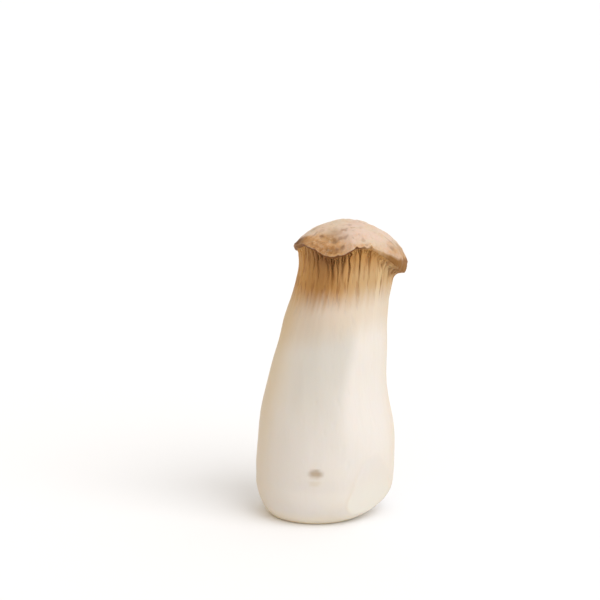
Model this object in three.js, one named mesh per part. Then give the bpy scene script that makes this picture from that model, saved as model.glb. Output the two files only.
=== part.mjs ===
// A king oyster mushroom, picked and trimmed, standing on its cut base.
// Millimetres, +Z up. The origin is the centre of the flat cut, and -Y is the front.
// The mushroom grew as one piece of flesh, so it is one closed skin: rings of points are laid from
// the cut up the stem, over the gills and the margin of the cap to the crown, and stitched together.
import * as THREE from "three";

// The flat cut, the foot and the heights above it
const CUT_RADIUS = 16.5;
const CUT_TURN = 30; // where the cut crosses the foot's ellipse, in degrees up from its lowest point
const FOOT_HEIGHT = 13; // the foot rounds out to the full stem over this height
const NECK_HEIGHT = 79; // the gills begin to stand out of the stem here
const CROWN_HEIGHT = 107.2;

// The stem's girth and lean: height, radius, and where its axis is in X and Y
const STEM = [
  [0, 24.5, 0, 0],
  [5, 24.6, 2.3, 0.5],
  [13, 24.7, 3.2, 1.4],
  [19, 25.0, 3.4, 1.3],
  [27, 24.8, 3.8, 1.2],
  [34, 24.1, 3.9, 1.3],
  [41, 23.0, 3.8, 1.6],
  [49, 21.7, 4.3, 1.9],
  [56, 20.7, 5.1, 2.2],
  [64, 19.7, 6.2, 2.5],
  [71, 18.9, 7.1, 2.8],
  [79, 17.8, 8.6, 3.1],
  [85, 17.0, 10.1, 3.3],
];

// How far the stem is from round: share of its radius, number of sides, how many millimetres up it
// each turns by a radian, and phase
const OUT_OF_ROUND = [
  [0.012, 2, 25, 0],
  [0.007, 3, -13, 1],
];

// A slice pared off the foot, low on the right of the front: the way it faces, in degrees round
// from +X towards +Y and below the horizontal, and how far it lies from the origin
const SLICE_AZIMUTH = 314;
const SLICE_TILT = 12;
const SLICE_DISTANCE = 20.75;

// The cap's margin: azimuth in degrees, radius from the cap's axis, height of the skin's edge, and
// how far the margin is turned down below it
const CAP_AXIS = [10.5, 3.4];
const MARGIN = [
  [0, 22.2, 92.4, 4.1],
  [25, 21.6, 93.0, 3.4],
  [55, 20.4, 96.2, 2.0],
  [85, 20.3, 98.4, 1.4],
  [115, 20.8, 96.2, 1.5],
  [145, 19.4, 96.6, 1.5],
  [175, 18.6, 97.9, 1.7],
  [200, 18.8, 99.7, 1.6],
  [216, 19.2, 101.4, 1.3],
  [229, 19.8, 100.8, 1.1],
  [241, 20.4, 99.4, 1.1],
  [253, 20.9, 98.5, 1.1],
  [265, 20.8, 99.0, 1.1],
  [277, 20.3, 100.5, 1.0],
  [290, 19.7, 101.3, 1.0],
  [301, 19.6, 100.5, 1.1],
  [312, 20.0, 98.7, 1.7],
  [324, 20.8, 97.0, 2.9],
  [336, 21.6, 95.4, 3.8],
  [348, 22.1, 93.4, 4.1],
];
const FULL_TURN = 360;
// The margin's small waves in and out, and up and down: size, number round the cap, and phase
const FRILL = [
  [0.2, 11, 1],
  [0.14, 19, 4],
];
const RIPPLE = [
  [0.22, 9, 2],
  [0.14, 17, 0],
];
const MARGIN_ROUND = 1.2; // how far the margin's edge rounds inwards
const NECK_DRAWN_IN = 1.2; // how much slimmer the neck is under the cap than where the gills end
const AXIS_MOVED = 0.45; // share of the flare by which its axis has moved from the stem to the cap

// The dome: how late it turns down towards its edge, how steeply, and how much fuller it is on the
// right, where it droops. Its waves at the edge fade by this power of the share of its radius.
const DOME_POWER = 2.2;
const DOME_SLOPE = 0.85;
const DOME_DROOP = 0.22;
const WAVE_FADING = 8;
const CROWN_REACH = 20; // the radius that the dome is laid out by near the crown
// Its low lumps: size, number round the cap, how far each turns from crown to edge, and phase
const LUMPS = [
  [0.7, 3, 7, 0],
  [0.5, 5, -9, 1],
];

// The gills
const GILL_COUNT = 56;
const GILL_THICKNESS = 0.34; // share of the pitch, about 0.65 mm at the neck
const GILL_DEPTH = 2.1;
const GILL_SWAY = 0.3; // share of the pitch that a gill strays as it runs down the neck
const GILL_REACH = 0.22; // share of the flare over which the lower ends are scattered
const VALLEY_RUN = 0.5; // share of the flare over which a valley deepens
const SHALLOW_FROM = 0.7; // share of the flare where the valleys begin to lose depth again
const DEPTH_LOST = 0.8; // share of their depth that they lose by the margin

// Where the rings lie: shares of the foot's quarter turn, heights on the stem as far as the slice
// reaches and above it, a number of steps up the flare, shares of the margin's quarter turn, and
// shares of the cap's radius
const FOOT_RINGS = [0, 0.16, 0.34, 0.54, 0.77, 1];
const PARED_RINGS = [16, 19, 22.5];
const STEM_RINGS = [30, 38, 46, 54, 62, 70, 77];
const FLARE_STEPS = 14;
const MARGIN_RINGS = [0.35, 0.7, 1];
const CAP_RINGS = [0.97, 0.92, 0.85, 0.76, 0.65, 0.52, 0.39];
const CROWN_RINGS = [0.26, 0.13];

const { sin, cos, PI } = Math;
const { smoothstep, lerp, clamp, euclideanModulo, degToRad, radToDeg } = THREE.MathUtils;

// A Park-Miller generator, so that every run draws the same numbers from 0 to 1
let seed = 2027;
function draw() {
  seed = (seed * 16807) % 2147483647;
  return seed / 2147483647;
}

// One column of a table at x, on a smooth curve through its rows. Given a period, the table closes.
function along(table, x, column, period = 0) {
  const row = (i) => {
    const turns = period ? Math.floor(i / table.length) : 0;
    const kept = table[period ? i - turns * table.length : clamp(i, 0, table.length - 1)];
    return [kept[0] + turns * period, kept[column]];
  };
  const last = period ? table.length - 1 : table.length - 2;
  let i = 0;
  while (i < last && row(i + 1)[0] <= x) i += 1;
  const [[xa, a], [xb, b], [xc, c], [xd, d]] = [row(i - 1), row(i), row(i + 1), row(i + 2)];
  const span = xc - xb;
  const t = (x - xb) / span;
  const slopeB = ((c - a) / (xc - xa)) * span;
  const slopeC = ((d - b) / (xd - xb)) * span;
  const bend = 2 * (b - c) + slopeB + slopeC;
  const rise = 3 * (c - b) - 2 * slopeB - slopeC;
  return ((bend * t + rise) * t + slopeB) * t + b;
}

// A point at a radius from an upright axis
const around = ([x, y], azimuth, radius, height) =>
  new THREE.Vector3(x + radius * cos(azimuth), y + radius * sin(azimuth), height);

const sum = (values) => values.reduce((a, b) => a + b, 0);

const wave = (rows, azimuth) =>
  sum(rows.map(([size, count, phase]) => size * sin(count * azimuth + phase)));

const stemAxis = (height) => [along(STEM, height, 2), along(STEM, height, 3)];

// The stem is not quite round, and differently so from foot to neck.
function stemRadius(azimuth, height) {
  const swell = OUT_OF_ROUND.map(
    ([share, sides, turning, phase]) => share * cos(sides * azimuth + height / turning + phase),
  );
  return along(STEM, height, 1) * (1 + sum(swell));
}

const sliceFacing = new THREE.Vector3(1, 0, 0)
  .applyAxisAngle(new THREE.Vector3(0, 1, 0), degToRad(SLICE_TILT))
  .applyAxisAngle(new THREE.Vector3(0, 0, 1), degToRad(SLICE_AZIMUTH));
const sliceInwards = new THREE.Vector3(-sliceFacing.x, -sliceFacing.y, 0);

// Brings a point that stands out past the slice back onto it, at the same height.
function pare(point) {
  const past = Math.max(point.dot(sliceFacing) - SLICE_DISTANCE, 0);
  return point.addScaledVector(sliceInwards, past / sliceInwards.lengthSq());
}

const stemPoint = (azimuth, height) =>
  pare(around(stemAxis(height), azimuth, stemRadius(azimuth, height), height));

// The foot is an arc of an ellipse, from where the cut crosses it out to the stem.
function footPoint(azimuth, share) {
  const first = degToRad(CUT_TURN);
  const turn = lerp(first, PI / 2, share);
  const height = FOOT_HEIGHT * (1 - cos(turn) / cos(first));
  const swollen = (sin(turn) - sin(first)) / (1 - sin(first));
  const radius = lerp(CUT_RADIUS, stemRadius(azimuth, FOOT_HEIGHT), swollen);
  return pare(around(stemAxis(height), azimuth, radius, height));
}

// The margin at one azimuth, with its small waves in and out and up and down
function marginAt(azimuth) {
  const degrees = euclideanModulo(radToDeg(azimuth), FULL_TURN);
  const [radius, edge, turnedDown] = [1, 2, 3].map((i) => along(MARGIN, degrees, i, FULL_TURN));
  const frill = wave(FRILL, azimuth);
  const ripple = wave(RIPPLE, azimuth);
  return { radius, edge, turnedDown, frill, ripple };
}

// The line of the gills' free edges at one azimuth: it leaves the stem where the gills end, runs up
// the drawn-in neck and turns out under the cap to the margin.
function flare(azimuth) {
  const { radius, edge, turnedDown, frill, ripple } = marginAt(azimuth);
  const foot = stemRadius(azimuth, NECK_HEIGHT);
  const neck = foot - NECK_DRAWN_IN;
  const out = radius + frill - MARGIN_ROUND;
  const top = edge + ripple - turnedDown;
  const rise = top - NECK_HEIGHT;
  return new THREE.CubicBezierCurve(
    new THREE.Vector2(foot, NECK_HEIGHT),
    new THREE.Vector2(neck, NECK_HEIGHT + 0.8 * rise),
    new THREE.Vector2(lerp(neck, out, 0.15), top - 0.03 * rise),
    new THREE.Vector2(out, top),
  );
}

// A point on the flare, or in a valley of some depth under it. On the way up the axis moves over
// from the stem's to the cap's.
function flarePoint(azimuth, share, depth) {
  const line = flare(azimuth);
  const at = line.getPoint(share);
  const way = line.getTangent(share);
  const from = stemAxis(NECK_HEIGHT);
  const moved = 1 - (1 - Math.min(share / AXIS_MOVED, 1)) ** 2;
  const axis = [lerp(from[0], CAP_AXIS[0], moved), lerp(from[1], CAP_AXIS[1], moved)];
  return around(axis, azimuth, at.x - depth * way.y, at.y + depth * way.x);
}

// The margin turns over in a quarter of an ellipse, from the gills up to the edge of the skin.
function marginPoint(azimuth, share, depth) {
  const { radius, edge, turnedDown, frill, ripple } = marginAt(azimuth);
  const turn = (share * PI) / 2;
  const out = radius + frill - MARGIN_ROUND * (1 - sin(turn));
  const height = edge + ripple - turnedDown * cos(turn);
  return around(CAP_AXIS, azimuth, out - depth * (1 - share), height);
}

// The cap is domed over its margin, more fully on the right, where it droops. The margin's waves
// fade out a little way up the dome.
function capPoint(azimuth, share) {
  const { radius, edge, frill, ripple } = marginAt(azimuth);
  const waves = share ** WAVE_FADING;
  const reach = lerp(CROWN_REACH, radius, share ** 2) + frill * waves;
  const low = edge + ripple * waves;
  const dome = (1 - share ** DOME_POWER) ** (DOME_SLOPE - DOME_DROOP * cos(azimuth));
  const lumps = LUMPS.map(
    ([size, count, turning, phase]) => size * sin(count * azimuth + turning * share + phase),
  );
  const height = lerp(low, CROWN_HEIGHT, dome) + sum(lumps) * share * (1 - share);
  return around(CAP_AXIS, azimuth, reach * share, height);
}

// Each gill strays to one side on its way down, and ends at a height of its own.
const gills = Array.from({ length: GILL_COUNT }, () => ({
  sway: GILL_SWAY * (2 * draw() - 1),
  start: GILL_REACH * draw(),
}));

// Three columns to a gill: the two sides of its free edge, and the valley after it. The valley
// deepens up the neck, and is shallow again at the margin.
function gillColumns(share) {
  const straying = 1 - smoothstep(share, 0, 0.9);
  const shallow = 1 - DEPTH_LOST * smoothstep(share, SHALLOW_FROM, 1);
  const half = GILL_THICKNESS / 2;
  return gills.flatMap(({ sway, start }, i) => {
    const next = gills[(i + 1) % GILL_COUNT];
    const depth = GILL_DEPTH * smoothstep(share, start, start + VALLEY_RUN) * shallow;
    const edge = i + sway * straying;
    const valley = i + 0.5 + ((sway + next.sway) / 2) * straying;
    return [
      { place: i - half, turn: edge - half, depth: 0 },
      { place: i + half, turn: edge + half, depth: 0 },
      { place: i + 0.5, turn: valley, depth },
    ];
  });
}

const positions = [];
const faces = [];

// A ring of points. Each has an azimuth, and a place in the ring that it is stitched by.
function addRing(columns, pointAt) {
  return columns.map(({ place, turn, depth }) => {
    positions.push(...pointAt((turn * 2 * PI) / GILL_COUNT, depth).toArray());
    return { place: place / GILL_COUNT, index: positions.length / 3 - 1 };
  });
}

// Joins a ring to the one above it with triangles, whatever their numbers of points. A ring of one
// point closes the skin as a fan.
function stitch(below, above) {
  const steps = (ring) => (ring.length > 1 ? ring.length : 0);
  const placeOf = (ring, i) => ring[i % ring.length].place + Math.floor(i / ring.length);
  const indexOf = (ring, i) => ring[i % ring.length].index;
  let i = 0;
  let j = 0;
  while (i < steps(below) || j < steps(above)) {
    const [a, b] = [indexOf(below, i), indexOf(above, j)];
    const lowerIsNext = placeOf(below, i + 1) <= placeOf(above, j + 1);
    if (j >= steps(above) || (i < steps(below) && lowerIsNext)) {
      i += 1;
      faces.push(a, indexOf(below, i), b);
    } else {
      j += 1;
      faces.push(a, indexOf(above, j), b);
    }
  }
}

// Plain columns, some to each gill
const plainColumns = (perGill) =>
  Array.from({ length: GILL_COUNT * perGill }, (_, i) => ({ place: i / perGill, turn: i / perGill }));

const single = [{ place: 0, turn: 0 }];
const flareShares = Array.from({ length: FLARE_STEPS + 1 }, (_, i) => i / FLARE_STEPS);

const rings = [
  addRing(single, () => new THREE.Vector3(0, 0, 0)),
  ...FOOT_RINGS.map((share) => addRing(plainColumns(2), (a) => footPoint(a, share))),
  ...PARED_RINGS.map((height) => addRing(plainColumns(2), (a) => stemPoint(a, height))),
  ...STEM_RINGS.map((height) => addRing(plainColumns(1), (a) => stemPoint(a, height))),
  ...flareShares.map((share) =>
    addRing(gillColumns(share), (a, depth) => flarePoint(a, share, depth)),
  ),
  ...MARGIN_RINGS.map((share) =>
    addRing(gillColumns(1), (a, depth) => marginPoint(a, share, depth)),
  ),
  ...CAP_RINGS.map((share) => addRing(plainColumns(2), (a) => capPoint(a, share))),
  ...CROWN_RINGS.map((share) => addRing(plainColumns(1), (a) => capPoint(a, share))),
  addRing(single, () => capPoint(0, 0)),
];
rings.slice(1).forEach((ring, i) => stitch(rings[i], ring));

const skin = new THREE.BufferGeometry();
skin.setAttribute("position", new THREE.Float32BufferAttribute(positions, 3));
skin.setIndex(faces);
skin.computeVertexNormals();

const flesh = new THREE.MeshStandardMaterial({ color: 0xe6dac8, roughness: 0.65, metalness: 0 });
const mushroom = new THREE.Mesh(skin, flesh);
mushroom.name = "mushroom";

const part = new THREE.Group();
part.add(mushroom);

export default part;
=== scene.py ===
# %% [markdown]
# # A king oyster mushroom
#
# The mushroom is one piece of firm flesh: a thick pale stem, trimmed flat at its base, gills that run
# down its neck, and a small tan cap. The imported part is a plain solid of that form. This lesson
# grows a finer skin over the same form, finishes it, and lights it as in a bright studio.

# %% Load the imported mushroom
import math

import bpy
import numpy as np
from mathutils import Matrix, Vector, noise


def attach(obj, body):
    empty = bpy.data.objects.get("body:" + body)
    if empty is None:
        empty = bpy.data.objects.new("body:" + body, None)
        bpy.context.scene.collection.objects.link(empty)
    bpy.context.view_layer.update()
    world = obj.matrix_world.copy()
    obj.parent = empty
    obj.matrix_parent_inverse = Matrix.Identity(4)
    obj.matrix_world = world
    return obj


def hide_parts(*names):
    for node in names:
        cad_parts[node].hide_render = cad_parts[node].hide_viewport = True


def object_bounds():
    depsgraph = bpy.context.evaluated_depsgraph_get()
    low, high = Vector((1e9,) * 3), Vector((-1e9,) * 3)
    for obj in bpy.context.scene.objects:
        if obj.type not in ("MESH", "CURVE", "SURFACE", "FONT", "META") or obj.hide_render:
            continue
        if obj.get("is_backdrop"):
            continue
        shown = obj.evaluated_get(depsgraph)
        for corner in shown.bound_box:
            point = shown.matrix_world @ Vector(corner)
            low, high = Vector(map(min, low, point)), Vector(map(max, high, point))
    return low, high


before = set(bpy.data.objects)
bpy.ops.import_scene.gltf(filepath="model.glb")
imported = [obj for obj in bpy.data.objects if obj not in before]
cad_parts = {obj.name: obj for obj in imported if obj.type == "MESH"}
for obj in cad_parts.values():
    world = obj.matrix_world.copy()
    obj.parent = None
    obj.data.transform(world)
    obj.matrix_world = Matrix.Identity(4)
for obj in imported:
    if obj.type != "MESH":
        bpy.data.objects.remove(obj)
cad_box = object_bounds()
NODE = "mushroom"
MM = 0.001  # the form is worked out in millimetres, and the scene is in metres
print("solid, in millimetres:", [round(side / MM, 1) for side in cad_box[1] - cad_box[0]])

# %% [markdown]
# ## The camera
#
# The mushroom is seen from a little above, through a long lens, so that its sides stay nearly
# parallel. The picture is square, so the lens follows from how many pixels a millimetre takes.

# %% Set up the camera
PICTURE = 600  # pixels each way
PIXELS_PER_MM = 2.78
DISTANCE = 800
LOOK_DOWN = math.radians(12.5)
LOOK_AT = np.array([-5.7, 1.6, 78.5])
SENSOR = 36

view_way = np.array([0, math.cos(LOOK_DOWN), -math.sin(LOOK_DOWN)])
camera = bpy.data.objects.new("camera", bpy.data.cameras.new("camera"))
camera.data.sensor_width = SENSOR
camera.data.lens = SENSOR * PIXELS_PER_MM * DISTANCE / PICTURE
camera.location = (LOOK_AT - view_way * DISTANCE) * MM
camera.rotation_euler = (math.radians(90) - LOOK_DOWN, 0, 0)
bpy.context.scene.collection.objects.link(camera)
bpy.context.scene.camera = camera
print("lens", round(camera.data.lens, 1), "mm, at", [round(x, 3) for x in camera.location])

# %% [markdown]
# ## The driving dimensions
#
# These are the solid's own: the flat cut, the stem's girth and lean, the slice pared off the foot,
# and the waved margin of the cap. A table with a few rows and a smooth curve through them is enough
# for each, because a mushroom has no sharp steps along its height or round its edge.

# %% The stem
CUT_RADIUS = 16.5
CUT_TURN = math.radians(30)  # where the cut crosses the foot's ellipse, up from its lowest point
FOOT_HEIGHT = 13
NECK_HEIGHT = 79
CROWN_HEIGHT = 107.2
# height, radius, and where the axis is in X and Y
STEM = [
    [0, 24.5, 0, 0],
    [5, 24.6, 2.3, 0.5],
    [13, 24.7, 3.2, 1.4],
    [19, 25.0, 3.4, 1.3],
    [27, 24.8, 3.8, 1.2],
    [34, 24.1, 3.9, 1.3],
    [41, 23.0, 3.8, 1.6],
    [49, 21.7, 4.3, 1.9],
    [56, 20.7, 5.1, 2.2],
    [64, 19.7, 6.2, 2.5],
    [71, 18.9, 7.1, 2.8],
    [79, 17.8, 8.6, 3.1],
    [85, 17.0, 10.1, 3.3],
]
# Share of the radius, number of sides, how many millimetres up each turns by a radian, and phase
OUT_OF_ROUND = [[0.012, 2, 25, 0], [0.007, 3, -13, 1]]
# The slice faces this way round from +X and below the horizontal, in degrees
SLICE_AZIMUTH = 314
SLICE_TILT = 12
SLICE_DISTANCE = 20.75
SLICE_TOP = 27  # the stem is clear of its plane from here up

# %% The cap and the gills
CAP_AXIS = [10.5, 3.4]
# azimuth in degrees, radius, height of the skin's edge, and how far the margin is turned down
MARGIN = [
    [0, 22.2, 92.4, 4.1],
    [25, 21.6, 93.0, 3.4],
    [55, 20.4, 96.2, 2.0],
    [85, 20.3, 98.4, 1.4],
    [115, 20.8, 96.2, 1.5],
    [145, 19.4, 96.6, 1.5],
    [175, 18.6, 97.9, 1.7],
    [200, 18.8, 99.7, 1.6],
    [216, 19.2, 101.4, 1.3],
    [229, 19.8, 100.8, 1.1],
    [241, 20.4, 99.4, 1.1],
    [253, 20.9, 98.5, 1.1],
    [265, 20.8, 99.0, 1.1],
    [277, 20.3, 100.5, 1.0],
    [290, 19.7, 101.3, 1.0],
    [301, 19.6, 100.5, 1.1],
    [312, 20.0, 98.7, 1.7],
    [324, 20.8, 97.0, 2.9],
    [336, 21.6, 95.4, 3.8],
    [348, 22.1, 93.4, 4.1],
]
# The margin's small waves in and out, and up and down: size, number round the cap, and phase
FRILL = [[0.2, 11, 1], [0.14, 19, 4]]
RIPPLE = [[0.22, 9, 2], [0.14, 17, 0]]
MARGIN_ROUND = 1.2
NECK_DRAWN_IN = 1.2
NECK_RUN = 0.8  # share of the flare's rise over which it runs up the neck before it turns out
TURN_OUT = 0.15  # how far out it is, as a share of its reach, where it has turned
TURN_DIP = 0.03  # how far it stays under the margin there, as a share of its rise
AXIS_MOVED = 0.45  # share of the flare by which its axis has moved from the stem to the cap
DOME_POWER = 2.2
DOME_SLOPE = 0.85
DOME_DROOP = 0.22
WAVE_FADING = 8
CROWN_REACH = 20
# The dome's low lumps: size, number round the cap, how far each turns from crown to edge, phase
LUMPS = [[0.7, 3, 7, 0], [0.5, 5, -9, 1]]
GILL_COUNT = 56
GILL_DEPTH = 2.1
GILL_SWAY = 0.3  # share of the pitch that a gill strays on its way down the neck
GILL_REACH = 0.22  # share of the flare over which the lower ends are scattered
SHALLOW_FROM = 0.7  # share of the flare where the valleys begin to lose depth again
DEPTH_LOST = 0.8  # share of their depth that they lose by the margin
print(GILL_COUNT, "gills,", round(2 * math.pi * 17 / GILL_COUNT, 2), "mm apart at the neck")

# %% [markdown]
# ## Helpers for smooth shapes
#
# Everything is worked out on whole rings of points at once with numpy. `along` reads a table on a
# smooth curve, `smoothstep` and `lerp` fade one thing into another, `wave` adds up sine waves, and
# `bumps` is smooth noise for all that grows unevenly.

# %% Read a table, fade and blend
def along(table, x, column, period=0):
    """One column of a table at x, on a smooth curve through its rows. Given a period, it closes."""
    rows = np.array(table, float)
    xs, ys = rows[:, 0], rows[:, column]
    if period:
        xs = np.concatenate([xs[-2:] - period, xs, xs[:2] + period])
        ys = np.concatenate([ys[-2:], ys, ys[:2]])
    else:
        xs = np.concatenate([xs[:1] - 1e-9, xs, xs[-1:] + 1e-9])
        ys = np.concatenate([ys[:1], ys, ys[-1:]])
    x = np.asarray(x, float)
    i = np.clip(np.searchsorted(xs, x, side="right") - 1, 1, len(xs) - 3)
    span = xs[i + 1] - xs[i]
    t = (x - xs[i]) / span
    b, c = ys[i], ys[i + 1]
    slope_b = (c - ys[i - 1]) / (xs[i + 1] - xs[i - 1]) * span
    slope_c = (ys[i + 2] - b) / (xs[i + 2] - xs[i]) * span
    bend = 2 * (b - c) + slope_b + slope_c
    rise = 3 * (c - b) - 2 * slope_b - slope_c
    return ((bend * t + rise) * t + slope_b) * t + b


def smoothstep(x, low, high):
    t = np.clip((x - low) / (high - low), 0, 1)
    return t * t * (3 - 2 * t)


def lerp(a, b, t):
    return a + (b - a) * t


def wave(rows, azimuth):
    return sum(size * np.sin(count * azimuth + phase) for size, count, phase in rows)


def around(axis, azimuth, radius, height):
    """Points at a radius from an upright axis."""
    x = axis[0] + radius * np.cos(azimuth)
    y = axis[1] + radius * np.sin(azimuth)
    return np.stack(np.broadcast_arrays(x, y, height), -1)


def bumps(at, size):
    """Smooth noise from about -1 to 1, with lumps of about that size in millimetres."""
    stretched = at / np.asarray(size, float)
    return np.array([noise.noise(Vector(point)) for point in stretched])


print("the stem's radius at mid height:", round(float(along(STEM, 40, 1)), 1), "mm")

# %% [markdown]
# ## The stem and the foot
#
# The stem isn't quite round. The foot is an arc of an ellipse from the cut's edge out to the stem:
# the knife crosses it where it already rises, so that the cut has a crisp edge. A slice was pared
# off low on the right of the front: points past its plane are moved level onto it.

# %% Points of the stem and the foot
def stem_axis(height):
    return along(STEM, height, 2), along(STEM, height, 3)


def stem_radius(azimuth, height):
    swell = sum(
        share * np.cos(sides * azimuth + height / turning + phase)
        for share, sides, turning, phase in OUT_OF_ROUND
    )
    return along(STEM, height, 1) * (1 + swell)


def stem_point(azimuth, height):
    return around(stem_axis(height), azimuth, stem_radius(azimuth, height), height)


slice_round, slice_down = math.radians(SLICE_AZIMUTH), math.radians(SLICE_TILT)
slice_level = np.array([math.cos(slice_round), math.sin(slice_round), 0]) * math.cos(slice_down)
slice_facing = slice_level - np.array([0, 0, math.sin(slice_down)])


def past_slice(points):
    """How far points stand out past the plane of the slice, in millimetres."""
    return points @ slice_facing - SLICE_DISTANCE


def foot_point(azimuth, share):
    turn = lerp(CUT_TURN, math.pi / 2, share)
    height = FOOT_HEIGHT * (1 - math.cos(turn) / math.cos(CUT_TURN))
    swollen = (math.sin(turn) - math.sin(CUT_TURN)) / (1 - math.sin(CUT_TURN))
    radius = lerp(CUT_RADIUS, stem_radius(azimuth, FOOT_HEIGHT), swollen)
    return around(stem_axis(height), azimuth, radius, height)


print("the foot's right side is at", foot_point(0.0, 1.0).round(1))

# %% [markdown]
# ## The margin, the flare and the dome
#
# The margin has small waves in and out (frill) and up and down (ripple). The gills' free edges
# follow a curve from the neck out to the margin; the valleys between them lie under it, along its
# normal. The cap is a dome over its margin, fuller on the right, where it droops.

# %% Points of the margin, the flare and the dome
def margin_at(azimuth):
    degrees = np.degrees(azimuth) % 360
    radius, edge, turned_down = [along(MARGIN, degrees, column, 360) for column in (1, 2, 3)]
    return radius, edge, turned_down, wave(FRILL, azimuth), wave(RIPPLE, azimuth)


def bezier(controls, t):
    """A point on a cubic curve, and the way it runs there."""
    a, b, c, d = controls
    s = 1 - t
    at = a * s**3 + 3 * b * s * s * t + 3 * c * s * t * t + d * t**3
    way = (b - a) * s * s + 2 * (c - b) * s * t + (d - c) * t * t
    return at, way


def flare_point(azimuth, share, depth):
    radius, edge, turned_down, frill, ripple = margin_at(azimuth)
    foot = stem_radius(azimuth, NECK_HEIGHT)
    neck = foot - NECK_DRAWN_IN
    out = radius + frill - MARGIN_ROUND
    top = edge + ripple - turned_down
    rise = top - NECK_HEIGHT
    at_radius, way_out = bezier((foot, neck, lerp(neck, out, TURN_OUT), out), share)
    heights = (NECK_HEIGHT, NECK_HEIGHT + NECK_RUN * rise, top - TURN_DIP * rise, top)
    at_height, way_up = bezier(heights, share)
    length = np.hypot(way_out, way_up)
    moved = 1 - (1 - min(share / AXIS_MOVED, 1)) ** 2
    axis = [lerp(low, high, moved) for low, high in zip(stem_axis(NECK_HEIGHT), CAP_AXIS)]
    inwards, upwards = depth * way_up / length, depth * way_out / length
    return around(axis, azimuth, at_radius - inwards, at_height + upwards)


def margin_point(azimuth, share, depth):
    radius, edge, turned_down, frill, ripple = margin_at(azimuth)
    turn = share * math.pi / 2
    out = radius + frill - MARGIN_ROUND * (1 - math.sin(turn))
    height = edge + ripple - turned_down * math.cos(turn)
    return around(CAP_AXIS, azimuth, out - depth * (1 - share), height)


def cap_point(azimuth, share):
    radius, edge, _, frill, ripple = margin_at(azimuth)
    waves = share**WAVE_FADING
    reach = lerp(CROWN_REACH, radius, share**2) + frill * waves
    low = edge + ripple * waves
    dome = (1 - share**DOME_POWER) ** (DOME_SLOPE - DOME_DROOP * np.cos(azimuth))
    turned = [(size, count, turning * share + phase) for size, count, turning, phase in LUMPS]
    height = lerp(low, CROWN_HEIGHT, dome) + wave(turned, azimuth) * share * (1 - share)
    return around(CAP_AXIS, azimuth, reach * share, height)


print("the crown is at", cap_point(0.0, 0.0).round(1))

# %% [markdown]
# ## The gills
#
# Real gills are thin blades: the long ones run from the margin down the neck, and short ones start
# between them near the margin. Modelling each blade as its own sheet would leave hundreds of loose
# edges, so they are raised from the skin instead: twelve columns of points go to each gill, enough
# for a blade with steep sides and for the short one beside it. Every gill strays and wavers a
# little on its way down, ends at a height of its own, and here and there two run together.

# %% Draw what differs from gill to gill
seed = 2027


def draw():
    """The next of a fixed row of scattered numbers from 0 to 1, the same in every run."""
    global seed
    seed = seed * 16807 % 2147483647
    return seed / 2147483647


gill_draws = [(GILL_SWAY * (2 * draw() - 1), GILL_REACH * draw()) for _ in range(GILL_COUNT)]
gill_sway = np.array([sway for sway, _ in gill_draws])
gill_start = np.array([start for _, start in gill_draws])
JOINED_SHARE = 0.3  # this many valleys open late, where two gills run together
closing = np.array([0.25 + 0.2 * draw() if draw() < JOINED_SHARE else 0 for _ in range(GILL_COUNT)])
short_start = np.array([0.45 + 0.3 * draw() for _ in range(GILL_COUNT)])
openness = np.array([0.3 + 0.45 * draw() for _ in range(GILL_COUNT)])  # how deep each valley is
gill_tone = np.array([draw() for _ in range(GILL_COUNT)])
print(int((closing > 0).sum()), "pairs of gills run together")

# %% The columns of points, and how deep each lies
PER_GILL = 12
COLUMNS = GILL_COUNT * PER_GILL
places = np.arange(COLUMNS) / PER_GILL  # in gills: a whole number is the middle of a blade
WAVER = 0.34  # share of the pitch that a gill wavers by
BENDS = 5  # about how many bends it has on its way
STRAYING_ENDS = 0.9  # share of the flare where it no longer strays
# Shares of the pitch, without and with a short gill beside the blade
BLADE_EDGE = (0.24, 0.1)  # half the width of its free edge
BLADE_FOOT = (0.44, 0.3)  # half its width down in the valley
SHORT_SIDE = (0.03, 0.2)  # the same two of the short one
SHORT_HEIGHT = 0.8
SHORT_OUT = 0.15  # share of the flare over which a short one comes out
OPENING = 0.5  # share of the flare over which a valley opens
MADE_UP = 0.6  # share of its delay that a valley that opens late makes up


def gill_turns(share):
    """Where each column is, in gills, after straying and wavering."""
    i = np.floor(places).astype(int)
    t = smoothstep(places - i, 0, 1)
    sway = lerp(gill_sway[i], gill_sway[(i + 1) % GILL_COUNT], t)
    gills_round = around((0, 0), places * 2 * math.pi / GILL_COUNT, GILL_COUNT / 6, BENDS * share)
    wavering = smoothstep(share, 0, 0.15) * (1 - smoothstep(share, 0.8, 1))
    straying = sway * (1 - smoothstep(share, 0, STRAYING_ENDS))
    return places + straying + WAVER * wavering * bumps(gills_round, 1)


def gill_valleys(share):
    """How deep each column lies under the free edges, from 0 to 1."""
    i = np.floor(places).astype(int)
    off_middle = np.abs(places - i - 0.5)
    off_blade = 0.5 - off_middle
    beside = smoothstep(share, short_start[i], short_start[i] + SHORT_OUT)
    blade = 1 - smoothstep(off_blade, lerp(*BLADE_EDGE, beside), lerp(*BLADE_FOOT, beside))
    short = SHORT_HEIGHT * beside * (1 - smoothstep(off_middle, *SHORT_SIDE))
    start = gill_start[i] + closing[i]
    opened = smoothstep(share, start, start + OPENING - MADE_UP * closing[i])
    return openness[i] * opened * (1 - np.maximum(blade, short))


def gill_depth(share):
    """How deep each column lies, in millimetres, shallow again at the margin."""
    shallow = 1 - DEPTH_LOST * smoothstep(share, SHALLOW_FROM, 1)
    return GILL_DEPTH * shallow * gill_valleys(share)


print("deepest valley:", round(float(max(gill_depth(s).max() for s in (0.5, 0.6, 0.7))), 2), "mm")

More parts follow.
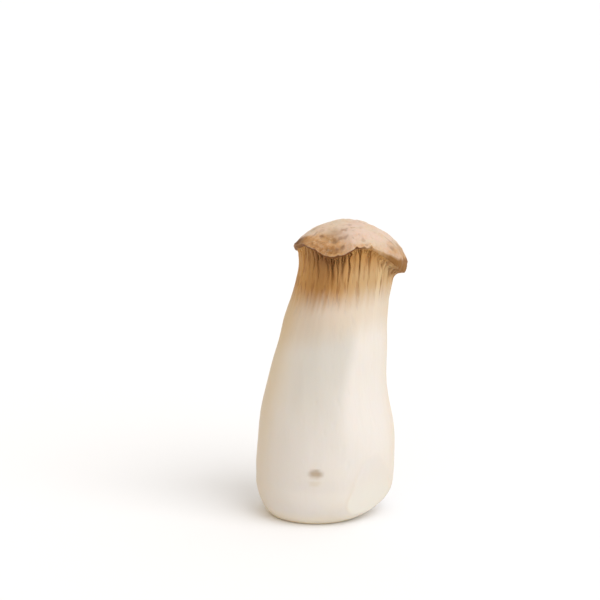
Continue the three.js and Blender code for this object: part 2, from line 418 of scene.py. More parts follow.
# %% [markdown]
# ## The skin, ring by ring
#
# The whole mushroom is one closed surface, from the middle of the cut up to the crown. Fine rings
# are needed only at the gills, so the rings of the stem have half as many points and those of the
# cut and the crown fewer still. Each ring also notes what the finish will need: how far the gills
# have begun, how deep in a valley a point lies, how dark its gill is, and how far out on the cap
# it is.

# %% Lay the rings
points = []
notes = {"gill": [], "valley": [], "tone": [], "cap": [], "rim": [], "azimuth": []}
tones = gill_tone[np.round(places).astype(int) % GILL_COUNT]
rings = []


def add_ring(stride, point_at, gill=0.0, valley=0.0, cap=0.0, rim=0.0, turns=places):
    """A ring of every stride-th column. point_at gives its points from their azimuths."""
    azimuth = turns[::stride] * 2 * math.pi / GILL_COUNT
    ring = point_at(azimuth)
    rings.append((len(points), len(ring)))
    points.extend(ring)
    values = {"gill": gill, "valley": valley, "tone": tones[::stride]}
    values |= {"cap": cap, "rim": rim, "azimuth": azimuth}
    for name, value in values.items():
        notes[name].extend(np.broadcast_to(value, len(ring)))


# Rings of the cut and of the cap: how many columns each steps over, and its share of the radius
CUT_RINGS = [(16, 0.04), (8, 0.15), (8, 0.28), (4, 0.42), (4, 0.54), (4, 0.66), (2, 0.77)]
CUT_RINGS += [(2, 0.86), (2, 0.93), (2, 0.98)]
FOOT_RINGS, STEM_RINGS, FLARE_RINGS = 20, 74, 62
FIRST_TRACE = 0.12  # how far the gills have begun at the top of the stem
TRACE_FROM = 66  # the height where that begins
for stride, share in CUT_RINGS:
    add_ring(stride, lambda a, s=share: around((0, 0), a, CUT_RADIUS * s, 0))
for share in np.linspace(0, 1, FOOT_RINGS):
    add_ring(2, lambda a, s=share: foot_point(a, s))
for height in np.linspace(FOOT_HEIGHT, NECK_HEIGHT, STEM_RINGS)[1:-1]:
    trace = smoothstep(height, TRACE_FROM, NECK_HEIGHT) * FIRST_TRACE
    add_ring(2, lambda a, z=height: stem_point(a, z), gill=trace)
for share in np.linspace(0, 1, FLARE_RINGS):
    depth = gill_depth(share)
    add_ring(
        1,
        lambda a, s=share, d=depth: flare_point(a, s, d),
        gill=FIRST_TRACE + (1 - FIRST_TRACE) * smoothstep(share, 0, 0.45),
        valley=gill_valleys(share),
        turns=gill_turns(share),
    )
rim_depth = gill_depth(1)
for share in (0.14, 0.28, 0.42, 0.56, 0.7, 0.85, 1):
    add_ring(
        1,
        lambda a, s=share: margin_point(a, s, rim_depth),
        gill=1 - smoothstep(share, 0.2, 0.8),
        valley=gill_valleys(1) * (1 - share),
        cap=smoothstep(share, 0.75, 1),
        rim=1,
    )
CAP_RINGS = [(1, s) for s in (0.992, 0.98, 0.966, 0.95, 0.933, 0.916)]
CAP_RINGS += [(2, s) for s in np.linspace(0.9, 0.46, 30)]
CAP_RINGS += [(4, s) for s in np.linspace(0.445, 0.21, 13)]
CAP_RINGS += [(8, s) for s in np.linspace(0.19, 0.1, 4)]
CAP_RINGS += [(16, 0.065), (16, 0.03)]
for stride, share in CAP_RINGS:
    add_ring(stride, lambda a, s=share: cap_point(a, s), cap=1, rim=share)
print(len(rings), "rings,", len(points), "points")

# %% [markdown]
# Two rings with as many points are joined by four-sided faces. Where the upper or lower one has
# half as many, three triangles go to each of its points. The two ends close with a fan.

# %% Join the rings into one closed mesh
faces = []


def join_rings(below, above):
    (b, nb), (a, na) = below, above
    if nb == na:
        for i in range(nb):
            j = (i + 1) % nb
            faces.append((b + i, b + j, a + j, a + i))
        return
    coarse_is_above = na < nb
    fine, n_fine = (b, nb) if coarse_is_above else (a, na)
    coarse, n_coarse = (a, na) if coarse_is_above else (b, nb)
    for i in range(n_coarse):
        j = (i + 1) % n_coarse
        f = [fine + (2 * i + k) % n_fine for k in range(3)]
        c = [coarse + i, coarse + j]
        made = [(f[0], f[1], c[0]), (f[1], c[1], c[0]), (f[1], f[2], c[1])]
        faces.extend(made if coarse_is_above else [face[::-1] for face in made])


for below, above in zip(rings, rings[1:]):
    join_rings(below, above)

first, last = rings[0], rings[-1]
bottom, crown = len(points), len(points) + 1
points.append(np.array([0.0, 0.0, 0.0]))
points.append(cap_point(0.0, 0.0))
for name in notes:
    notes[name].extend([0.0, 1.0 if name == "cap" else 0.0])
for i in range(first[1]):
    faces.append((bottom, first[0] + (i + 1) % first[1], first[0] + i)[::-1])
for i in range(last[1]):
    faces.append((crown, last[0] + i, last[0] + (i + 1) % last[1]))

points = np.array(points)
notes = {name: np.array(values, float) for name, values in notes.items()}
skin = bpy.data.meshes.new("mushroom_skin")
skin.from_pydata(points * MM, [], faces)
triangles = sum(len(face) - 2 for face in faces)
print(len(faces), "faces,", triangles, "triangles")

# %% [markdown]
# ## Relief
#
# Flesh is never smooth. The stem has broad soft dents and fine lengthwise fibres, the cap has a
# wrinkled, scaly skin, and its edge is crinkled. This relief is real geometry, moved along the
# surface's normals, so that it shows in the outline and catches the light. Smooth noise gives it,
# stretched along the stem for the fibres.

# %% Measure the smooth skin
normals = np.empty(len(points) * 3)
skin.vertex_normals.foreach_get("vector", normals)
normals = normals.reshape(-1, 3)
azimuth, height = notes["azimuth"], points[:, 2]
degrees = np.degrees(azimuth) % 360
cap, rim, gill, valley = [notes[name] for name in ("cap", "rim", "gill", "valley")]
on_stem = (cap == 0) & (height > 0)
stem = on_stem * (1 - gill)


def off(centre):
    """How far round each point is from an azimuth, in degrees, either way."""
    return np.abs((degrees - centre + 180) % 360 - 180)


def bell(x, width):
    """1 at 0, fading out over some width either way."""
    return np.exp(-((x / width) ** 2))


def hill(centre, width):
    """1 at an azimuth, fading out over some degrees either way."""
    return bell(off(centre), width)


print(int(on_stem.sum()), "points on the stem and the gills,", int((cap > 0).sum()), "on the cap")


# %% Dents and fibres of the stem
def layers(rows, at=points):
    """Noise in layers: the height and size of each one's lumps, and a shift to a fresh part of it."""
    return sum(rise * bumps(at + shift, size) for rise, size, shift in rows)


DENTS = [(0.34, 15, 0), (0.13, (5, 5, 11), 50)]
FIBRES = [(0.012, (1.3, 1.3, 14), 0), (0.02, (2.6, 2.6, 30), 90)]
PIT_DEPTH = 0.12
PITS = [(1, 2.4, 7)]
FOOT_EDGE = 3  # the relief fades in over this height, so that the cut keeps its crisp edge
pits = -PIT_DEPTH * smoothstep(layers(PITS), 0.42, 0.8)
relief = stem * smoothstep(height, 0, FOOT_EDGE) * (layers(DENTS + FIBRES) + pits)
print("dents and fibres from", round(float(relief.min()), 2), "to", round(float(relief.max()), 2))

# %% [markdown]
# The front of the stem turns from its shaded to its lit side over a soft, wandering ridge, and a
# dull spot with a faint stain under it is sunk into the left of the front.

# %% The ridge and the spot
RIDGE_AZIMUTH = 287
RIDGE_WANDER = 3  # degrees
RIDGE_TURN = 9  # millimetres up for each radian of its wandering
RIDGE_RISE, RIDGE_WIDTH = 0.55, 15  # millimetres and degrees
SPOT = (261.2, 20.8)  # azimuth in degrees, height
SPOT_SIZE = (6.3, 1.6)  # degrees and millimetres, to where it fades out
STAIN = (260.5, 17.2)
STAIN_SIZE = (5.4, 1.1)
MARK = (259.2, 46.2)
MARK_SIZE = (1.6, 1.0)
SPOT_SUNK, MARK_SUNK = 0.3, 0.1
PATCH_FADE = (0.5, 1.3)  # shares of its size between which a patch fades out
PATCH_LUMPS = 1.6  # millimetres, of its ragged edge


def patch(centre, size, ragged):
    """A soft oval patch on the stem, 1 in the middle and 0 outside, with a ragged edge."""
    across = (degrees - centre[0]) / size[0]
    up = (height - centre[1]) / size[1]
    away = np.hypot(across, up) + ragged * bumps(points, PATCH_LUMPS)
    return stem * (1 - smoothstep(away, *PATCH_FADE))


past_ridge = degrees - RIDGE_AZIMUTH - RIDGE_WANDER * np.sin(height / RIDGE_TURN)
ridge = smoothstep(height, 20, 34) * (1 - smoothstep(height, 62, 76))
spot = patch(SPOT, SPOT_SIZE, 0.15)
stain = patch(STAIN, STAIN_SIZE, 0.3)
mark = patch(MARK, MARK_SIZE, 0.3)
relief += RIDGE_RISE * stem * ridge * bell(past_ridge, RIDGE_WIDTH)
relief -= SPOT_SUNK * spot + MARK_SUNK * mark
print(int((spot > 0.5).sum()), "points in the spot")

# %% [markdown]
# The skin of the cap is wrinkled all over and crinkled along the front lobe, which swells into a
# low roll with a furrow above it. The edge is nicked in a few places, where it rises on the front
# and again on the right. Old bruises have left dark smudges, sunk in a little, and each is placed
# from a table, because the eye knows them by their places.

# %% Dark smudges on the cap
# Azimuth in degrees and share of the way from the crown to the edge; how far each reaches either
# way, in millimetres round the cap and as a share; and how dark it is
SMUDGES = [
    (268, 0.49, 1.5, 0.06, 0.6),
    (226, 0.62, 1.1, 0.06, 0.35),
    (234, 0.72, 0.8, 0.04, 0.9),
    (221, 0.74, 0.5, 0.10, 0.5),
    (265, 0.70, 2.2, 0.05, 0.6),
    (255, 0.77, 1.6, 0.06, 0.6),
    (260, 0.93, 0.8, 0.03, 0.9),
    (266, 0.92, 0.8, 0.04, 0.9),
    (250, 0.93, 0.9, 0.03, 0.7),
    (239, 0.87, 1.8, 0.05, 0.4),
    (290, 0.89, 0.8, 0.05, 0.4),
    (291, 0.975, 0.8, 0.02, 0.5),
    (348, 0.86, 0.9, 0.08, 0.6),
    (334, 0.84, 0.6, 0.10, 0.5),
    (326, 0.94, 1.6, 0.04, 0.5),
    (196, 0.60, 1.2, 0.06, 0.5),
]
SMUDGE_SUNK = 0.15
RAGGED = [(0.8, 1.3, 110)]
cap_radius = np.hypot(points[:, 0] - CAP_AXIS[0], points[:, 1] - CAP_AXIS[1])
uneven = layers(RAGGED)
smudge = np.zeros(len(points))
for centre, share, across, along_share, dark in SMUDGES:
    round_cap = np.radians(off(centre)) * cap_radius / across
    away = np.hypot(round_cap, (rim - share) / along_share) + uneven
    smudge = np.maximum(smudge, dark * (1 - smoothstep(away, 0.3, 1.3)))
smudge *= cap
print(len(SMUDGES), "smudges over", int((smudge > 0.1).sum()), "points")

# %% The skin of the cap and its nicked edge
FRONT_LOBE = (255, 34)  # where the edge is most crinkled, and over how many degrees
# Azimuth, width in degrees and depth in millimetres
NICKS = [(238, 1.6, 0.35), (262, 1.4, 0.3), (280.5, 2.0, 0.7), (289, 1.8, 0.5), (296.5, 2.4, 1.1)]
NICKS += [(312, 1.8, 0.4), (334, 2.2, 0.6), (343, 1.6, 0.4)]
# A furrow and two rolls: height, azimuth and degrees either way, share of the way out and width
ROLLS = [(-0.5, 248, 24, 0.74, 0.06), (0.4, 250, 28, 0.89, 0.06), (0.5, 206, 16, 0.86, 0.09)]
WRINKLES = [(0.22, 3.4, 0), (0.15, 1.7, 20)]
SCALES = [(0.16, 1.25, 40)]
SCALY_PLACES = [(1, 6, 60)]
CRINKLE = [(0.5, 1.5, 80), (0.25, 0.9, 130)]
RUGGED = [(0.25, 1.4, 70)]
lobe = hill(*FRONT_LOBE)
near_edge = smoothstep(rim, 0.62, 0.97)
flattened = points * [1, 1, 0.6]
scales = np.abs(layers(SCALES, flattened)) * smoothstep(layers(SCALY_PLACES, flattened), -0.2, 0.4)
crinkle = layers(CRINKLE, flattened) * near_edge * (0.25 + 0.75 * lobe)
rolls = sum(
    rise * hill(centre, degrees_round) * bell(rim - share, width)
    for rise, centre, degrees_round, share, width in ROLLS
)
relief += cap * (layers(WRINKLES, flattened) + scales + crinkle + rolls - SMUDGE_SUNK * smudge)
nicked = sum(depth * hill(centre, width) for centre, width, depth in NICKS)
rugged = layers(RUGGED) * (0.4 + 0.6 * lobe)
lifted = smoothstep(rim, 0.93, 1) * (nicked + rugged)
print("the edge is lifted by up to", round(float(lifted.max()), 2), "mm")

# %% The gills' edges and the cut
ROUGH_EDGES = [(0.09, (1.2, 1.2, 3), 30)]
STROKES = [(0.12, (9, 0.9, 1), 10)]  # a knife's strokes, along X
INSIDE_CUT = 0.2  # they stop this far from its edge
relief += gill * (1 - valley) * layers(ROUGH_EDGES)
cut = (height < 0.01) & (np.hypot(points[:, 0], points[:, 1]) < CUT_RADIUS - INSIDE_CUT)
strokes = np.abs(layers(STROKES))
print("relief from", round(float(relief.min()), 2), "to", round(float(relief.max()), 2), "mm")

# %% Move the points
points = points + normals * relief[:, None]
points[:, 2] += lifted
points[cut, 2] = strokes[cut]
past = past_slice(points)
pared = (height > 0.01) & (height < SLICE_TOP)
inwards = np.where(pared, np.maximum(past, 0), 0) / (slice_level @ slice_level)
points = points - inwards[:, None] * slice_level
skin.vertices.foreach_set("co", (points * MM).ravel())
skin.update()
print("pared off up to", round(float(past[pared].max()), 2), "mm")

# %% [markdown]
# ## The piece
#
# The mesh becomes one object that stands for the imported solid. What the finish needs is kept on the
# mesh as attributes, one number for each point.

# %% Where each colour begins
# Gills: ochre comes in over the neck in streaks, painted brown shade lies on the gills under the
# front lobe, and painted light makes the gills to the right of it, towards the lamp, paler
STREAKS_ROUND, STREAK_LENGTH = 14, 20  # how closely they stand, and millimetres
FIRST_OCHRE, FULL_OCHRE = (62, 80), (76.5, 87)  # the heights between which it comes in
LIT_GILLS_AZIMUTH = 312
streaks = bumps(around((0, 0), azimuth, STREAKS_ROUND, height / STREAK_LENGTH), 1)
above = height + 1.8 * streaks + 1.5 * hill(225, 30) - 2 * hill(320, 35)
ochre = 0.25 * smoothstep(above, *FIRST_OCHRE) + 0.75 * smoothstep(above, *FULL_OCHRE)
# painted shade: the gills under the front lobe are darkened, with a little random streaking
painted_gill_shade = hill(243, 23) * (0.75 + 0.25 * smoothstep(height, 80, 92)) + 0.25 * streaks
# painted light: the gills that face the lamp are made paler, and their valleys less dark
painted_gill_light = (1 - smoothstep(off(LIT_GILLS_AZIMUTH), 16, 56)) * (1 - smoothstep(height, 90, 98))
painted_gill_light += 0.15 * streaks
# painted shadow: the gills just under the front lobe are darkened as if in its shade
painted_lobe_shadow = hill(247, 23) * smoothstep(height, 91.5, 97)

# Cap: brown on the front left, most of all out on the lobe, and dark at the left tip. The brown on
# the front left is partly the skin's own and partly painted shade, on the side away from the lamp,
# and the tip's dark is its own brown deepened with painted shade. A thin painted highlight runs
# along the lobe's lower edge. Here rim is the share of the way out from the crown.
brown_from = 0.41 + 0.006 * off(250)
# the front left: partly the skin's own brown, partly painted shade away from the lamp
brown_and_shade = smoothstep(rim, brown_from, brown_from + 0.35) * hill(234, 42)
brown_and_shade = np.maximum(brown_and_shade, 0.45 * smoothstep(rim, 0.8, 1) ** 2)
right_edge = hill(345, 30) * smoothstep(rim, 0.76, 0.95)
brown_and_shade = np.maximum(brown_and_shade, 0.6 * right_edge)
lobe_brown = hill(253, 18) * smoothstep(rim, 0.8, 0.96)
dusky = hill(249, 15) * smoothstep(rim, 0.36, 0.56) * (1 - smoothstep(rim, 0.76, 0.88))
dusky = np.maximum(dusky, 0.6 * right_edge)
# the left tip: its own dark brown, deepened with painted shade
tip_brown_and_shade = hill(197, 22) * smoothstep(rim, 0.76, 0.93)
# painted highlight along the front lobe's lower edge
painted_lip_highlight = 0.65 * hill(259, 9) * smoothstep(rim, 0.978, 0.99)

# Lip: the thick turned-down edge on the right, with the low edge of the skin over it and the last
# of the gills under it. The lip's ochre is the gills' own colour darkened with painted shade, and the
# low edge of the skin and the gills under the lip are darkened with painted shade too
lip = 1 - smoothstep(off(348), 26, 40)
painted_skin_lip_shade = lip * (1 - smoothstep(height, 93.9, 94.8))
under_lip = (1 - smoothstep(off(352), 14, 24)) * smoothstep(height, 87.5, 89.5)

# Stem: painted shade on the flank to the left of the ridge, painted warm shade round both sides, and
# a warmer tone up the neck
painted_flank_shade = smoothstep(degrees, 212, 248) * (1 - smoothstep(past_ridge, -7, 7))
painted_flank_shade *= smoothstep(height, 20, 60) * (1 - smoothstep(height, 66, 80))
# painted warm shade on both flanks, most on the left
side = 0.65 * hill(195, 22) * lerp(0.6, 1, smoothstep(height, 20, 60)) + 0.3 * hill(352, 18)
neck_tone = 0.3 * smoothstep(height + 0.08 * off(315), 68, 78)

# Slice: paler flesh, which fades towards its upper end, and a thin darker line along its edge
slice_face = np.where(pared, smoothstep(past, 0, 0.3), 0) * (1 - smoothstep(height, 9, 20))
slice_line = np.where(pared, bell(past, 0.3), 0) * hill(288, 12)
print("ochre on", int((ochre > 0.5).sum()), "points, brown on", int((brown_and_shade > 0.5).sum()))

# %% Make the piece and keep its masks
masks = {
    "ochre": ochre * (1 - cap),
    "valley": valley,
    "tone": notes["tone"],
    "painted_gill_shade": np.clip(painted_gill_shade, 0, 1),
    "painted_gill_light": np.clip(painted_gill_light, 0, 1),
    "cap": cap,
    "brown_and_shade": brown_and_shade,
    "lobe": lobe_brown,
    "dusky": dusky,
    "tip_brown_and_shade": tip_brown_and_shade,
    "painted_lip_highlight": painted_lip_highlight,
    "smudge": smudge,
    "margin": (rim == 1) * (1 - cap),
    # painted shadow of the front lobe on the margin's face and the gills under it
    "painted_lobe_shadow": np.where(rim == 1, 1 - smoothstep(off(250), 32, 48), painted_lobe_shadow),
    "lip": lip,
    "painted_skin_lip_shade": painted_skin_lip_shade,
    "under_lip": under_lip,
    "painted_flank_shade": painted_flank_shade,
    # painted warm shade on both flanks, with the neck's own warmer tone
    "side": np.minimum(side + neck_tone, 1),
    "spot": spot,
    "stain": stain + 0.6 * mark,
    "slice": slice_face,
    "slice_edge": slice_line,
}
for name, values in masks.items():
    attribute = skin.attributes.new(name, "FLOAT", "POINT")
    attribute.data.foreach_set("value", values.astype(np.float32))
skin.polygons.foreach_set("use_smooth", [True] * len(skin.polygons))

mushroom = bpy.data.objects.new("mushroom_skin", skin)
bpy.context.scene.collection.objects.link(mushroom)
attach(mushroom, "root")
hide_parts(NODE)
print(mushroom.name, "stands for", NODE)

# %% [markdown]
# ## Shader maths
#
# A finish is a tree of nodes, and most of them only add, multiply or mix. Written as Python
# expressions they are much easier to read, so a small class wraps a socket, and an expression on
# two of them adds the node for it. A colour goes through a Mix node and never through a Math node,
# which would turn it grey.

# %% Wrap a socket
class Wire:
    """A socket of a node tree that can be used in expressions."""

    def __init__(self, socket):
        self.socket = socket

    def node(self, kind, settings=None, inputs=None, output=0):
        return add_node(self.socket.id_data, kind, settings, inputs, output)

    def maths(self, operation, *values):
        return self.node("ShaderNodeMath", {"operation": operation}, dict(enumerate(values)))

    def __add__(self, other):
        return self.maths("ADD", self, other)

    def __sub__(self, other):
        return self.maths("SUBTRACT", self, other)

    def __rsub__(self, other):
        return self.maths("SUBTRACT", other, self)

    def __mul__(self, other):
        return self.maths("MULTIPLY", self, other)

    __radd__ = __add__
    __rmul__ = __mul__

    def fade(self, low, high):
        """0 below low and 1 above high, smoothly. Given high before low, it fades out."""
        settings = {"interpolation_type": "SMOOTHSTEP"}
        return self.node("ShaderNodeMapRange", settings, {0: self, 1: low, 2: high})

    def stretched(self, scale):
        """A vector scaled along each axis."""
        settings = {"operation": "MULTIPLY"}
        return self.node("ShaderNodeVectorMath", settings, {0: self, 1: scale})

    def noise(self, scale, detail=2.0, roughness=0.5):
        inputs = {"Vector": self, "Scale": scale, "Detail": detail, "Roughness": roughness}
        return self.node("ShaderNodeTexNoise", None, inputs, "Fac")


def add_node(tree, kind, settings=None, inputs=None, output=0):
    """Adds a node: its settings first, then the values or links of its sockets."""
    made = tree.nodes.new(kind)
    for name, value in (settings or {}).items():
        setattr(made, name, value)
    for name, value in (inputs or {}).items():
        if isinstance(value, Wire):
            tree.links.new(value.socket, made.inputs[name])
        else:
            made.inputs[name].default_value = value
    return Wire(made.outputs[output]) if made.outputs else made


# %% Colours
def paint(red, green, blue):
    """A colour as seen on screen, from 0 to 255, as the shader wants it."""
    screen = np.array([red, green, blue]) / 255
    linear = np.where(screen <= 0.04045, screen / 12.92, ((screen + 0.055) / 1.055) ** 2.4)
    return (*linear.tolist(), 1.0)


def mix(factor, a, b):
    """Colour a where the factor is 0, and b where it is 1."""
    settings = {"data_type": "RGBA"}
    return factor.node("ShaderNodeMix", settings, {0: factor, 6: a, 7: b}, 2)


# %% [markdown]
# ## The finish of the flesh
#
# One material covers the mushroom, as one skin does: creamy white on the stem, ochre on the gills
# with brown down in the valleys as painted shade, and tan on the cap. Painted shade and light also
# lie under the cap's edge, on the gills and flanks on either side, and at the foot. The masks on the
# mesh say where each begins, and noise breaks every edge up, so that no border looks drawn.

# %% Start the material
flesh = bpy.data.materials.new("mushroom_flesh")
flesh.use_nodes = True
tree = flesh.node_tree
tree.nodes.clear()
place = add_node(tree, "ShaderNodeTexCoord", output="Object")
up = place.node("ShaderNodeSeparateXYZ", None, {0: place}, "Z")


def mask(name):
    return add_node(tree, "ShaderNodeAttribute", {"attribute_name": name}, output="Fac")


# %% The stem's colour
CREAM = paint(216, 210, 204)
WARM_CREAM = paint(216, 208, 195)
SHADED_CREAM = paint(203, 198, 190)
SIDE_SHADE = paint(208, 188, 156)
STREAK = paint(206, 193, 174)
PAINTED_FOOT_LIGHT = paint(238, 225, 200)
PAINTED_EDGE_LIGHT = paint(246, 228, 194)
fibre = place.stretched((500, 500, 16)).noise(1, 3, 0.55)
stem_colour = mix(place.noise(38, 3).fade(0.4, 0.7) * 0.5, CREAM, WARM_CREAM)
# painted shade on the flank left of the ridge
stem_colour = mix(mask("painted_flank_shade"), stem_colour, SHADED_CREAM)
# painted warm shade on both flanks, and the neck's own warmer tone
stem_colour = mix(mask("side"), stem_colour, SIDE_SHADE)
stem_colour = mix(fibre.fade(0.45, 0.8) * 0.08, stem_colour, STREAK)
# painted light: lighter towards the table, and warmer and lighter still in the last 1.5 mm, where the
# foot meets it
stem_colour = mix(up.fade(0.006, 0.001) * 0.5, stem_colour, PAINTED_FOOT_LIGHT)
stem_colour = mix(up.fade(0.0015, 0.0003) * 0.7, stem_colour, PAINTED_EDGE_LIGHT)
print(len(tree.nodes), "nodes for the plain stem")

# %% The spot, the stain and the slice
SPOT_TONE = paint(172, 154, 132)
STAIN_TONE = paint(208, 196, 176)
PARED = paint(216, 212, 202)
stem_colour = mix(mask("spot") * 0.85, stem_colour, SPOT_TONE)
stem_colour = mix(mask("stain") * 0.5, stem_colour, STAIN_TONE)
stem_colour = mix(mask("slice") * 0.8, stem_colour, PARED)
stem_colour = mix(mask("slice_edge") * 0.3, stem_colour, STREAK)
print(len(tree.nodes), "nodes with the marks of the stem")

# %% The gills' colour
GILL_EDGE = paint(190, 142, 80)
# painted shade for the gills under the front lobe, also used for the darker tone of some gills
GILL_SHADE_AND_DARK_TONE = paint(156, 110, 56)
GILL_LIT = paint(198, 168, 124)
GILL_VALLEY_SHADE = paint(144, 97, 48)
# painted shadow under the front lobe
LOBE_SHADOW_BROWN = paint(108, 63, 16)
# painted shade under the front lobe, then each gill's own random tone
gill_colour = mix(mask("painted_gill_shade"), GILL_EDGE, GILL_SHADE_AND_DARK_TONE)
# painted light on the gills that face the lamp
gill_colour = mix(mask("painted_gill_light"), gill_colour, GILL_LIT)
gill_colour = mix(mask("tone") * 0.35, gill_colour, GILL_SHADE_AND_DARK_TONE)
# painted shade: the valleys between the gills and fine wavy lines along them are darkened
valley_shade = mask("valley").fade(0.15, 0.95) * (0.8 - mask("painted_gill_light") * 0.5)
gill_colour = mix(valley_shade, gill_colour, GILL_VALLEY_SHADE)
gill_shade_lines = place.stretched((800, 800, 90)).noise(1, 3, 0.6).fade(0.53, 0.61)
gill_colour = mix(gill_shade_lines * (0.7 - mask("painted_gill_light") * 0.3), gill_colour, GILL_VALLEY_SHADE)
# painted shadow of the front lobe on the gills
gill_colour = mix(mask("painted_lobe_shadow") * 0.6, gill_colour, LOBE_SHADOW_BROWN)
body_colour = mix(mask("ochre"), stem_colour, gill_colour)
print(len(tree.nodes), "nodes with the gills")

# %% The margin's turned-down face
UNDER_EDGE = paint(182, 146, 104)
UNDER_TIP_BROWN_AND_SHADE = paint(124, 80, 28)
# the lip's ochre, darkened with painted shade; and painted shade on the low edge of the skin over it
LIP_OCHRE_AND_SHADE = paint(135, 92, 37)
SKIN_LIP_SHADE = paint(127, 83, 34)
# under the left tip: its own brown deepened with painted shade
margin_colour = mix(mask("tip_brown_and_shade"), UNDER_EDGE, UNDER_TIP_BROWN_AND_SHADE)
# painted shadow on the margin's face under the front lobe
margin_colour = mix(mask("painted_lobe_shadow"), margin_colour, LOBE_SHADOW_BROWN)
margin_colour = mix(mask("lip"), margin_colour, LIP_OCHRE_AND_SHADE)
# painted shade on the last of the gills under the lip
body_colour = mix(mask("under_lip") * 0.8, body_colour, LIP_OCHRE_AND_SHADE)
body_colour = mix(mask("margin"), body_colour, margin_colour)
print(len(tree.nodes), "nodes with the margin")

# %% The cap's colour
PALE_TAN = paint(202, 181, 159)
PINK_TAN = paint(206, 182, 166)
WARM_TAN = paint(190, 145, 97)
LOBE_TAN = paint(151, 107, 60)
DUSKY_TAN = paint(150, 116, 78)
TIP_BROWN = paint(102, 62, 18)
SPECK = paint(118, 84, 54)
LIP_HIGHLIGHT = paint(196, 154, 104)
patches = place.noise(240, 4, 0.65)
brown_and_shade = (mask("brown_and_shade") + (patches - 0.5) * 0.8).fade(0.1, 0.9)
cap_colour = mix(place.noise(110, 3).fade(0.4, 0.6), PALE_TAN, PINK_TAN)
cap_colour = mix(patches.fade(0.5, 0.7) * 0.25, cap_colour, WARM_TAN)
# brown on the front left: partly the skin's own, partly painted shade away from the lamp
cap_colour = mix(brown_and_shade, cap_colour, WARM_TAN)
cap_colour = mix(mask("lobe") * 0.9, cap_colour, LOBE_TAN)
cap_colour = mix(mask("dusky") * 0.6, cap_colour, DUSKY_TAN)
mottle = place.noise(560, 4, 0.7)
cap_colour = mix(mottle.fade(0.54, 0.64) * mask("brown_and_shade") * 0.42, cap_colour, TIP_BROWN)
cap_colour = mix(mottle.fade(0.47, 0.39) * mask("brown_and_shade") * 0.4, cap_colour, PALE_TAN)
# painted highlight along the front lobe's lower edge
cap_colour = mix(mask("painted_lip_highlight"), cap_colour, LIP_HIGHLIGHT)
# the left tip: its own brown deepened with painted shade
cap_colour = mix(mask("tip_brown_and_shade"), cap_colour, TIP_BROWN)
specks = place.noise(520, 3, 0.6).fade(0.55, 0.7) * place.noise(170, 2).fade(0.46, 0.58)
cap_colour = mix(specks * 0.45, cap_colour, SPECK)
cap_colour = mix(mask("smudge") * 0.8, cap_colour, SPECK)
# painted shade on the low edge of the skin over the lip
cap_colour = mix(mask("painted_skin_lip_shade"), cap_colour, SKIN_LIP_SHADE)
colour = mix(mask("cap"), body_colour, cap_colour)
print(len(tree.nodes), "nodes with the cap")

# %% Roughness, fine bump and the shader
grain = place.stretched((1400, 1400, 160)).noise(1, 2)
skin_grain = place.noise(1700, 3)
fine = grain * (1 - mask("cap")) + skin_grain * mask("cap")
normal = place.node(
    "ShaderNodeBump", None, {"Strength": 0.15, "Distance": 0.0002, "Height": fine}, "Normal"
)
rough = 0.55 + 0.18 * fibre
surface = add_node(
    tree,
    "ShaderNodeBsdfPrincipled",
    None,
    {
        "Base Color": colour,
        "Roughness": rough,
        "Normal": normal,
        "Subsurface Weight": 0.25,
        "Subsurface Radius": (1.0, 0.6, 0.35),
        "Subsurface Scale": 0.004,
        "Specular IOR Level": 0.35,
    },
    "BSDF",
)
add_node(tree, "ShaderNodeOutputMaterial", None, {"Surface": surface})
skin.materials.append(flesh)
print(len(tree.nodes), "nodes in the finish")

# %% [markdown]
# ## The studio
#
# The mushroom stands on a white table that runs out of the picture. A broad soft light from the
# upper right of the front gives the stem its bright side, and a world that is white in the middle
# and dimmer and warm out to either side fills the rest. Both come from far away, so the table is
# lit evenly and stays white out to the picture's edges.

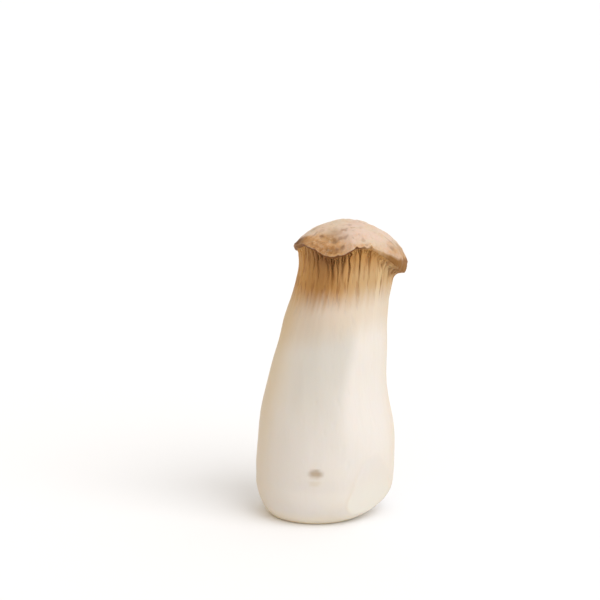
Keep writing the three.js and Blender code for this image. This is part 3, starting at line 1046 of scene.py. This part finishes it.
# %% The table
FLOOR_SIZE = 12
TABLE_TINT = (0.86, 0.872, 0.905, 1)  # a little blue, which makes up for the warm sides of the world
floor_mesh = bpy.data.meshes.new("floor")
half = FLOOR_SIZE / 2
corners = [(-half, -half, 0), (half, -half, 0), (half, half, 0), (-half, half, 0)]
floor_mesh.from_pydata(corners, [], [(0, 1, 2, 3)])
floor = bpy.data.objects.new("floor", floor_mesh)
bpy.context.scene.collection.objects.link(floor)
floor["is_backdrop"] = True

white = bpy.data.materials.new("white_table")
white.use_nodes = True
white_shader = white.node_tree.nodes["Principled BSDF"]
white_shader.inputs["Base Color"].default_value = TABLE_TINT
white_shader.inputs["Roughness"].default_value = 0.9
white_shader.inputs["Specular IOR Level"].default_value = 0.1
floor_mesh.materials.append(white)


# %% The lights
def add_sun(name, strength, spread, azimuth, elevation):
    """A broad even light from far away. Its azimuth and elevation say where it comes from."""
    light = bpy.data.objects.new(name, bpy.data.lights.new(name, "SUN"))
    light.data.energy = strength
    light.data.angle = math.radians(spread)
    turn, rise = math.radians(azimuth), math.radians(elevation)
    way = Vector((math.cos(turn) * math.cos(rise), math.sin(turn) * math.cos(rise), math.sin(rise)))
    light.rotation_euler = way.to_track_quat("Z", "Y").to_euler()
    bpy.context.scene.collection.objects.link(light)


add_sun("key", strength=1.5, spread=50, azimuth=-42, elevation=45)

# %% The world
world = bpy.data.worlds.new("studio")
bpy.context.scene.world = world
world.use_nodes = True
sky = world.node_tree
sky.nodes.clear()
LEFT_SIDE = (0.78, 0.63, 0.42, 1)
MIDDLE = (1.0, 0.995, 0.985, 1)
RIGHT_SIDE = (0.9, 0.81, 0.68, 1)
GLOW = 0.94
direction = add_node(sky, "ShaderNodeTexCoord", output="Generated")
from_right = direction.node("ShaderNodeSeparateXYZ", None, {0: direction}, "X")
sky_colour = mix(from_right.fade(-1.0, 0.1), LEFT_SIDE, MIDDLE)
sky_colour = mix(from_right.fade(0.5, 1.0), sky_colour, RIGHT_SIDE)
glow = add_node(sky, "ShaderNodeBackground", None, {"Color": sky_colour, "Strength": GLOW})
add_node(sky, "ShaderNodeOutputWorld", None, {"Surface": glow})
bpy.context.scene.view_settings.view_transform = "Standard"

# %% [markdown]
# ## The size
#
# The finer skin is meant to stay inside the solid's box, so the two boxes' differences are printed.

# %% Print how the boxes differ
skin_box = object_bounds()
for side, low, high in zip("XYZ", *[skin_box[i] - cad_box[i] for i in (0, 1)]):
    print(side, "low", round(low / MM, 2), "mm, high", round(high / MM, 2), "mm")
